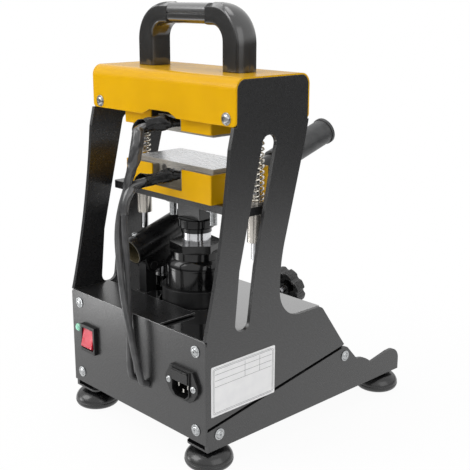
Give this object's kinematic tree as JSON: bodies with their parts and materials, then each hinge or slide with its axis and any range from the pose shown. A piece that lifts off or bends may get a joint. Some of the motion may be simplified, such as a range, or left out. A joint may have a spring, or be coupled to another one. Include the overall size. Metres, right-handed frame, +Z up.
{
  "type": "heat press",
  "caption": "Heated twin-plate press whose lower plate is lifted by a lever-pumped bottle jack in a sheet-metal frame.",
  "frame": {"origin": "on the table, under the middle of the whole machine without its free leads", "axes": "+Z up, -Y towards the operator and the release knob, +X to the operator's right and the pump lever"},
  "size_m": [0.2396, 0.3787, 0.4447],
  "materials": {
    "black_sheet": "fine-textured satin powder coat",
    "gloss_sheet": "smooth gloss black paint",
    "shelf_steel": "satin black paint",
    "yellow_paint": "gloss golden yellow powder coat",
    "beam_steel": "satin black paint",
    "handle_plastic": "semi-gloss moulded",
    "hidden_bolts": "zinc plated",
    "insulation_board": "dull beige fibre board",
    "platen_aluminium": "fine-blasted light grey",
    "heater_steel": "heat-tinted stainless",
    "bright_bolts": "bright zinc plate",
    "moving_plate_paint": "satin black paint",
    "bushing_steel": "bright nickel plate",
    "guide_chrome": "ground and plated",
    "spring_nickel": "bright nickel plate",
    "jack_casting": "black paint over casting",
    "jack_steel": "honed",
    "jack_paint": "gloss black",
    "plug_rubber": "matte",
    "gland_paint": "gloss black",
    "ram_chrome": "ground and plated",
    "saddle_iron": "black",
    "lever_paint": "satin black",
    "grip_rubber": "matte moulded",
    "knob_plastic": "matte moulded",
    "screw_chrome": "bright zinc plate",
    "switch_black": "semi-gloss moulded",
    "rocker_red": "translucent red",
    "lamp_green": "translucent mint green",
    "inlet_black": "moulded black",
    "blade_metal": "nickel plated",
    "drawer_black": "moulded black",
    "grommet_rubber": "matte",
    "lead_sleeve": "wrinkled satin sleeve",
    "lead_jacket": "satin grey-black jacket",
    "label_white": "satin white plate with ruled lines",
    "foot_rubber": "satin moulded",
    "controller_plastic": "moulded",
    "display_plastic": "smoked window and membrane keys",
    "relay_plastic": "moulded"
  },
  "bodies": {
    "frame": {"left_side_plate": "black_sheet", "right_side_plate": "black_sheet", "left_leg": "black_sheet", "right_leg": "black_sheet", "rear_panel": "black_sheet", "front_panel": "black_sheet", "bottom_cover": "black_sheet", "deck_plate": "gloss_sheet", "jack_shelf": "shelf_steel", "head_cover": "yellow_paint", "upper_housing": "yellow_paint", "head_beam": "beam_steel", "handle_left_elbow": "handle_plastic", "handle_right_elbow": "handle_plastic", "handle_bar": "handle_plastic", "frame_bolts": "hidden_bolts", "upper_insulator": "insulation_board", "upper_platen": "platen_aluminium", "upper_heaters": "heater_steel", "upper_platen_bolts": "bright_bolts", "guide_rods": "guide_chrome", "jack_base": "jack_casting", "jack_cylinder": "jack_steel", "jack_reservoir": "jack_paint", "filler_plug": "plug_rubber", "jack_gland_nut": "gland_paint", "pump_barrel": "jack_paint", "pump_link": "jack_paint", "case_screws": "screw_chrome", "switch_bezel": "switch_black", "pilot_lamp": "lamp_green", "inlet_socket": "inlet_black", "inlet_blades": "blade_metal", "cable_grommets": "grommet_rubber", "upper_lead_sleeve": "lead_sleeve", "upper_heater_cable": "lead_jacket", "rating_plate": "label_white", "rubber_feet": "foot_rubber", "temperature_controllers": "controller_plastic", "controller_faces": "display_plastic", "relays_and_terminals": "relay_plastic"},
    "carriage": {"moving_plate": "moving_plate_paint", "guide_bushings": "bushing_steel", "lower_housing": "yellow_paint", "lower_insulator": "insulation_board", "lower_platen": "platen_aluminium", "lower_heaters": "heater_steel", "lower_platen_bolts": "bright_bolts", "lower_lead_sleeve": "lead_sleeve", "lower_heater_cable": "lead_jacket", "return_springs": "spring_nickel"},
    "ram": {"jack_ram": "ram_chrome", "ram_saddle": "saddle_iron"},
    "lever": {"lever_socket": "lever_paint", "lever_tube": "lever_paint", "lever_grip": "grip_rubber"},
    "plunger": {"pump_plunger": "ram_chrome"},
    "knob": {"release_knob": "knob_plastic"},
    "rocker": {"switch_rocker": "rocker_red"},
    "drawer": {"fuse_drawer": "drawer_black"}
  },
  "joints": [
    {"name": "plate_lift", "type": "slide", "parent": "frame", "child": "carriage", "axis": [0, 0, 1], "range_m": [0, 0.031], "stiffness_N_per_m": 5300, "springref_m": -0.015, "deforming": ["return_springs", "lower_heater_cable"]},
    {"name": "ram_lift", "type": "slide", "parent": "frame", "child": "ram", "axis": [0, 0, 1], "range_m": [0, 0.031]},
    {"name": "pump_lever", "type": "hinge", "parent": "frame", "child": "lever", "pos_m": [0.0577, 0.11317, 0.1647], "axis": [1, 0, 0], "range_deg": [-12, 30]},
    {"name": "pump_stroke", "type": "slide", "parent": "frame", "child": "plunger", "axis": [0, 0, 1], "range_m": [-0.0118, 0.0048]},
    {"name": "release_valve", "type": "hinge", "parent": "frame", "child": "knob", "pos_m": [0, -0.04533, 0.1127], "axis": [0, -0.9613, 0.2756], "range_deg": [0, 360]},
    {"name": "power_rocker", "type": "hinge", "parent": "frame", "child": "rocker", "pos_m": [0.0783, 0.17677, 0.0871], "axis": [-1, 0, 0], "range_deg": [0, 16]},
    {"name": "fuse_drawer_pull", "type": "slide", "parent": "frame", "child": "drawer", "axis": [0, 1, 0], "range_m": [0, 0.015]}
  ],
  "couplings": [
    {"joint": "ram_lift", "follows": "plate_lift", "ratio": 1},
    {"joint": "pump_stroke", "follows": "pump_lever", "m_per_rad": -0.022}
  ]
}
